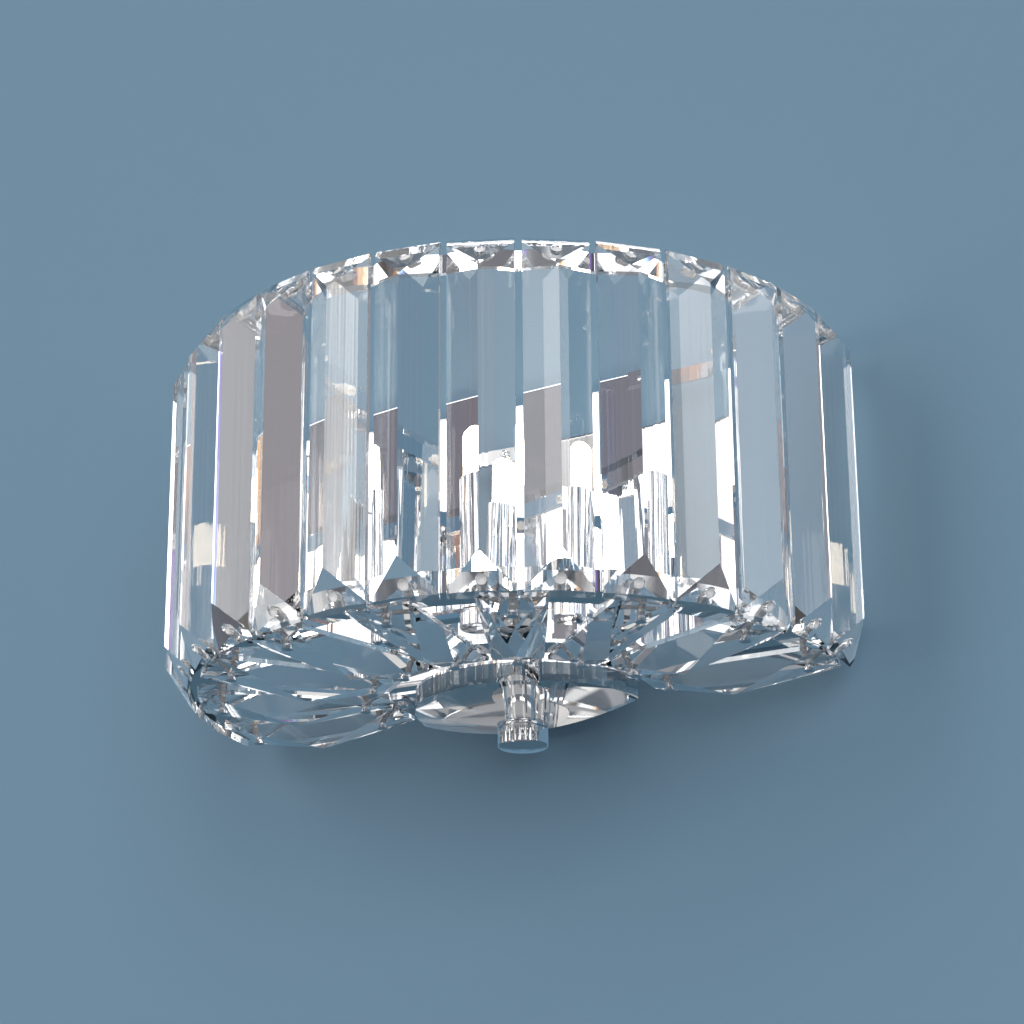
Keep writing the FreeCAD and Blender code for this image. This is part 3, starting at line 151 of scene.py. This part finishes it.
LOOKS = {
    "crystal": crystal,
    "chrome": chrome,
    "frosted": frosted,
    "zinc_steel": zinc,
    "brass": brass,
    "block_plastic": block_plastic,
    "bulb_glass": bulb,
}
SLOTS = {part["node"]: part["material_slot"] for part in frame["record"]["subparts"]}
for name, node in nodes.items():
    node.data.materials.clear()
    node.data.materials.append(LOOKS[SLOTS[name]])
    if name.startswith("prism_"):
        node.data.materials[0] = drawn_crystal
nodes["backplate"].data.materials[0] = mirror_plate


# --- frosted plugs and sleeves ---------------------------------------------------------------

# These are built in millimetres round the lower ring's centre, which lies STANDOFF before the
# wall and MOUNT_HEIGHT below the wall screws.
MM = 0.001
STANDOFF = 30.0
MOUNT_HEIGHT = 83.0
MERGE_GAP = 1e-5
# Radians between two faces.
SHARP_ANGLE = 0.6
PRISMS = 16
BARS = 9

# Plugs: their two ends as distances from the ring's centre, and the hollow of the inner end.
PLUG_OUTSIDE = 147.929
PLUG_INSIDE = 138.8
PLUG_RADIUS = 2.31
PLUG_BEVEL = 0.25
HOLLOW_RADIUS = 1.10
HOLLOW_DEPTH = 1.2
# Ringed outer face of a plug, from its middle out: radius and distance inward.
PLUG_FACE = [(0, 1.30), (0.70, 1.32), (0.86, 1.05), (1.30, 0.98), (1.42, 1.22), (1.58, 1.22),
             (1.72, 0.92), (2.12, 0.86), (PLUG_RADIUS, 1.02)]

# Radii of the sleeves.
SLEEVE_INNER = 1.31
SLEEVE_OUTER = 1.51


def turned(bm, profile, start, axis, segments=28):
    """Lathe rings of (radius, distance along the axis) from a start point, all in mm."""
    axis = Vector(axis).normalized()
    side = axis.orthogonal().normalized()
    other = axis.cross(side)
    rings = []
    for radius, along in profile:
        centre = Vector(start) + axis * along
        if radius == 0:
            rings.append([bm.verts.new(centre)])
            continue
        ring = []
        for step in range(segments):
            angle = 2 * math.pi * step / segments
            spoke = side * math.cos(angle) + other * math.sin(angle)
            ring.append(bm.verts.new(centre + spoke * radius))
        rings.append(ring)
    for near, far in zip(rings, rings[1:]):
        for step in range(segments):
            follow = (step + 1) % segments
            corners = [near[step % len(near)], near[follow % len(near)],
                       far[follow % len(far)], far[step % len(far)]]
            corners = list(dict.fromkeys(corners))
            bm.faces.new(corners)


def finished(name, bm, material):
    """Object of a mesh built in the ring's millimetres, moved into the frame."""
    bmesh.ops.remove_doubles(bm, verts=bm.verts, dist=MERGE_GAP)
    bmesh.ops.recalc_face_normals(bm, faces=bm.faces)
    for face in bm.faces:
        face.smooth = True
    for edge in bm.edges:
        if len(edge.link_faces) == 2 and edge.calc_face_angle() > SHARP_ANGLE:
            edge.smooth = False
    place = Matrix.Diagonal((MM, MM, MM, 1)) @ Matrix.Translation((0, -STANDOFF, -MOUNT_HEIGHT))
    bmesh.ops.transform(bm, matrix=place, verts=bm.verts)
    mesh = bpy.data.meshes.new(name)
    bm.to_mesh(mesh)
    bm.free()
    mesh.materials.append(material)
    piece = bpy.data.objects.new(name, mesh)
    bpy.context.scene.collection.objects.link(piece)
    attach(piece, "fixture")
    return piece


def prism_plugs(name, height, tilt, node):
    """Frosted plugs that fill the prisms' slanting holes, ringed at their outer ends.

    height is that of their outer ends over the ring, and tilt their rise inward in degrees.
    """
    slant = math.radians(tilt)
    length = (PLUG_OUTSIDE - PLUG_INSIDE) / math.cos(slant)
    profile = PLUG_FACE + [
        (PLUG_RADIUS, length - PLUG_BEVEL), (PLUG_RADIUS - PLUG_BEVEL, length),
        (HOLLOW_RADIUS, length), (HOLLOW_RADIUS, length - HOLLOW_DEPTH),
        (0, length - HOLLOW_DEPTH)]
    bm = bmesh.new()
    for number in range(PRISMS):
        angle = math.radians(180 * number / (PRISMS - 1))
        out = Vector((math.cos(angle), -math.sin(angle), 0))
        start = out * PLUG_OUTSIDE + Vector((0, 0, height))
        axis = -out * math.cos(slant) + Vector((0, 0, math.sin(slant)))
        turned(bm, profile, start, axis)
    piece = finished(name, bm, frosted)
    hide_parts(node)


def bar_sleeves(name, radius, low, high):
    """Ground walls of the fan bars' holes, round the fan pins."""
    height = high - low
    profile = [(SLEEVE_INNER, 0), (SLEEVE_OUTER, 0), (SLEEVE_OUTER, height),
               (SLEEVE_INNER, height), (SLEEVE_INNER, 0)]
    bm = bmesh.new()
    for number in range(BARS):
        angle = math.radians(180 * number / (BARS - 1))
        start = Vector((math.cos(angle) * radius, -math.sin(angle) * radius, low))
        turned(bm, profile, start, (0, 0, 1))
    piece = finished(name, bm, frosted)


prism_plugs("lower_plugs", height=6.2, tilt=18.0, node="lower_prism_pins")
prism_plugs("upper_plugs", height=145.8, tilt=-26.0, node="upper_prism_pins")
bar_sleeves("outer_sleeves", radius=130.0, low=-1.2, high=2.9)
bar_sleeves("inner_sleeves", radius=68.0, low=-1.6, high=2.9)


# --- stage -----------------------------------------------------------------------------------

def plane(name, corners, material):
    """Flat four-cornered stage piece."""
    mesh = bpy.data.meshes.new(name)
    mesh.from_pydata([Vector(c) for c in corners], [], [(0, 1, 2, 3)])
    mesh.materials.append(material)
    piece = bpy.data.objects.new(name, mesh)
    bpy.context.scene.collection.objects.link(piece)


def pale(name, colour):
    """Matt paint of the stage."""
    material, tree, output = new_material(name)
    shader = principled(tree, Base_Color=(*colour, 1), Roughness=0.7)
    tree.links.new(shader.outputs[0], output.inputs["Surface"])
    return material


def one_sided(material, through_glass):
    """Paint that only shows from its front, to the camera and perhaps through the glass.

    All other rays pass through it and see the world instead, so the object's back is lit and
    can be looked at.
    """
    tree = material.node_tree
    output = tree.nodes["Material Output"]
    paint = output.inputs["Surface"].links[0].from_socket
    path = tree.nodes.new("ShaderNodeLightPath")
    side = tree.nodes.new("ShaderNodeNewGeometry")
    seen = tree.nodes.new("ShaderNodeMath")
    seen.operation = "ADD"
    seen.use_clamp = True
    front = tree.nodes.new("ShaderNodeMath")
    front.operation = "SUBTRACT"
    front.use_clamp = True
    clear = tree.nodes.new("ShaderNodeBsdfTransparent")
    mix = tree.nodes.new("ShaderNodeMixShader")
    tree.links.new(path.outputs["Is Camera Ray"], seen.inputs[0])
    seen.inputs[1].default_value = 0.0
    if through_glass:
        tree.links.new(path.outputs["Is Transmission Ray"], seen.inputs[1])
    tree.links.new(seen.outputs[0], front.inputs[0])
    tree.links.new(side.outputs["Backfacing"], front.inputs[1])
    tree.links.new(front.outputs[0], mix.inputs["Fac"])
    tree.links.new(clear.outputs[0], mix.inputs[1])
    tree.links.new(paint, mix.inputs[2])
    tree.links.new(mix.outputs[0], output.inputs["Surface"])
    return material


WALL_Y = 0.0006
WALL_REACH = 3
WALL_COLOUR = (0.145, 0.262, 0.37)
WALL_SHADE = (0.07, 0.13, 0.18)
FLOOR_COLOUR = (0.62, 0.68, 0.74)
FLOOR_Z = -1.2
FLOOR_REACH = 6
BACKDROP = (0.42, 0.50, 0.57)

plane("wall", [(-WALL_REACH, WALL_Y, FLOOR_Z), (WALL_REACH, WALL_Y, FLOOR_Z),
               (WALL_REACH, WALL_Y, WALL_REACH), (-WALL_REACH, WALL_Y, WALL_REACH)],
      one_sided(pale("wall_paint", WALL_COLOUR), through_glass=True))
plane("floor", [(-FLOOR_REACH, -FLOOR_REACH, FLOOR_Z), (FLOOR_REACH, -FLOOR_REACH, FLOOR_Z),
                (FLOOR_REACH, FLOOR_REACH, FLOOR_Z), (-FLOOR_REACH, FLOOR_REACH, FLOOR_Z)],
      one_sided(pale("floor_paint", FLOOR_COLOUR), through_glass=False))


# --- studio light ----------------------------------------------------------------------------

# Room seen by the glass and the metal: soft panels as (left, right, low, high) in degrees round
# the front, blur in degrees and colour. Later panels lie over earlier ones. Beyond 90 degrees
# on both sides they stand for the wall, in its colour and its shade.
ROOM = (0.13, 0.13, 0.15)
PANELS = [
    (-90, 90, -90, -25, 4, (0.17, 0.18, 0.20)),
    (-90, 90, -25, -6, 3, (0.40, 0.40, 0.41)),
    (-62, -50, -70, -20, 3, (1.00, 0.98, 0.96)),
    (-38, -26, -60, -12, 2, (0.80, 0.78, 0.75)),
    (32, 40, -70, -12, 2, (0.75, 0.73, 0.71)),
    (-60, -20, 38, 60, 4, (1.00, 0.98, 0.95)),
    (-20, 14, 38, 60, 4, (0.12, 0.12, 0.14)),
    (14, 40, 38, 60, 4, (1.10, 1.08, 1.05)),
    (-180, 180, 62, 90, 6, (2.10, 2.10, 2.10)),
    (-180, -90, -90, 90, 1, WALL_COLOUR),
    (90, 180, -90, 90, 1, WALL_COLOUR),
    (-180, -90, -90, -13, 4, WALL_SHADE),
    (90, 180, -90, -13, 4, WALL_SHADE),
    (-96, -89, -5, 35, 2, (0.28, 0.28, 0.30)),
    (-86, -58, 6, 34, 3, (0.31, 0.29, 0.31)),
    (-47, -40, -12, 40, 1.5, (0.26, 0.23, 0.20)),
    (-56, -47, -12, 40, 2, (1.75, 1.72, 1.70)),
    (-40, -19, -8, 36, 2, (3.40, 3.35, 3.25)),
    (-19, -12, -8, 14, 1.5, (0.44, 0.40, 0.37)),
    (-14, -4, 16, 34, 1.5, (0.52, 0.50, 0.53)),
    (-4, 5, 16, 34, 1.5, (0.20, 0.20, 0.24)),
    (5, 8, -10, 45, 1, (0.04, 0.05, 0.06)),
    (14, 46, -6, 28, 2, (3.40, 3.35, 3.30)),
    (50, 60, -20, 60, 2, (0.04, 0.05, 0.07)),
    (64, 90, -10, 50, 4, (1.60, 1.60, 1.62)),
]

# Four upright edges of the bright panels end in thin rainbow strips, which stand for the colours
# that cut crystal spreads. STRIP is a strip's width and STRIP_BLUR its blur, in degrees.
RAINBOW = ((1.75, 1.42, 0.90), (1.25, 0.76, 0.40), (0.50, 0.26, 0.18))
RAINBOW_COLD = ((0.85, 1.30, 1.55), (0.34, 0.52, 1.20), (0.28, 0.18, 0.52))
STRIP = 1.1
STRIP_BLUR = 0.3
# Edge, direction away from the panel, low and high in degrees, and the bands' colours.
EDGES = [
    (-56, -1, -12, 40, RAINBOW),
    (-19, 1, 14, 36, RAINBOW_COLD),
    (14, -1, -6, 28, RAINBOW),
    (46, 1, -6, 28, RAINBOW_COLD),
]
for edge, outward, low, high, bands in EDGES:
    for step, band in enumerate(bands):
        near = edge + outward * STRIP * step
        far = near + outward * STRIP
        PANELS.append((min(near, far), max(near, far), low, high, STRIP_BLUR, band))

world = bpy.data.worlds.new("studio")
bpy.context.scene.world = world
world.use_nodes = True
tree = world.node_tree
background = tree.nodes["Background"]


def maths(operation, *values):
    """Math node on numbers or sockets."""
    node = tree.nodes.new("ShaderNodeMath")
    node.operation = operation
    for socket, value in zip(node.inputs, values):
        if isinstance(value, (int, float)):
            socket.default_value = value
        else:
            tree.links.new(value, socket)
    return node.outputs[0]


def ramp(angle, low, high):
    """Smooth step of an angle between two limits."""
    node = tree.nodes.new("ShaderNodeMapRange")
    node.interpolation_type = "SMOOTHSTEP"
    tree.links.new(angle, node.inputs["Value"])
    node.inputs["From Min"].default_value = low
    node.inputs["From Max"].default_value = high
    return node.outputs["Result"]


way = tree.nodes.new("ShaderNodeTexCoord")
parts = tree.nodes.new("ShaderNodeSeparateXYZ")
tree.links.new(way.outputs["Generated"], parts.inputs[0])
ahead_part = maths("MULTIPLY", parts.outputs["Y"], -1.0)
turn = maths("DEGREES", maths("ARCTAN2", parts.outputs["X"], ahead_part))
lift = maths("DEGREES", maths("ARCSINE", parts.outputs["Z"]))
room = tree.nodes.new("ShaderNodeRGB")
room.outputs[0].default_value = (*ROOM, 1)
colour = room.outputs[0]
for left, right, low, high, blur, tint in PANELS:
    sides = maths("MULTIPLY", ramp(turn, left - blur, left + blur),
                  ramp(turn, right + blur, right - blur))
    heights = maths("MULTIPLY", ramp(lift, low - blur, low + blur),
                    ramp(lift, high + blur, high - blur))
    mix = tree.nodes.new("ShaderNodeMix")
    mix.data_type = "RGBA"
    tree.links.new(maths("MULTIPLY", sides, heights), mix.inputs["Factor"])
    tree.links.new(colour, mix.inputs["A"])
    mix.inputs["B"].default_value = (*tint, 1)
    colour = mix.outputs["Result"]

# The camera itself sees a plain backdrop instead of the panels.
direct = tree.nodes.new("ShaderNodeLightPath")
backdrop = tree.nodes.new("ShaderNodeMix")
backdrop.data_type = "RGBA"
tree.links.new(direct.outputs["Is Camera Ray"], backdrop.inputs["Factor"])
tree.links.new(colour, backdrop.inputs["A"])
backdrop.inputs["B"].default_value = (*BACKDROP, 1)
tree.links.new(backdrop.outputs["Result"], background.inputs["Color"])
background.inputs["Strength"].default_value = 1.0

# Rays cross many facets, and the ones that are stopped leave them black.
scene = bpy.context.scene
scene.cycles.max_bounces = 24
scene.cycles.glossy_bounces = 16
scene.cycles.transmission_bounces = 20


# --- camera ----------------------------------------------------------------------------------

CAMERA_PLACE = Vector((0.4783, -1.1001, -0.4224))
YAW = math.radians(24.277)
PITCH = math.radians(19.989)
ROLL = math.radians(-0.452)
LENS = 98.98
SENSOR_WIDTH = 36
NEAR_CLIP = 0.05

ahead = Vector((-math.sin(YAW) * math.cos(PITCH), math.cos(YAW) * math.cos(PITCH),
                math.sin(PITCH)))
level_right = Vector((math.cos(YAW), math.sin(YAW), 0))
level_up = level_right.cross(ahead)
right = math.cos(ROLL) * level_right + math.sin(ROLL) * level_up
up = -math.sin(ROLL) * level_right + math.cos(ROLL) * level_up
camera_data = bpy.data.cameras.new("camera")
camera_data.lens = LENS
camera_data.sensor_width = SENSOR_WIDTH
camera_data.clip_start = NEAR_CLIP
camera = bpy.data.objects.new("camera", camera_data)
bpy.context.scene.collection.objects.link(camera)
axes = Matrix((right, up, -ahead)).transposed().to_4x4()
camera.matrix_world = Matrix.Translation(CAMERA_PLACE) @ axes
bpy.context.scene.camera = camera
bpy.context.scene.view_settings.view_transform = "Standard"
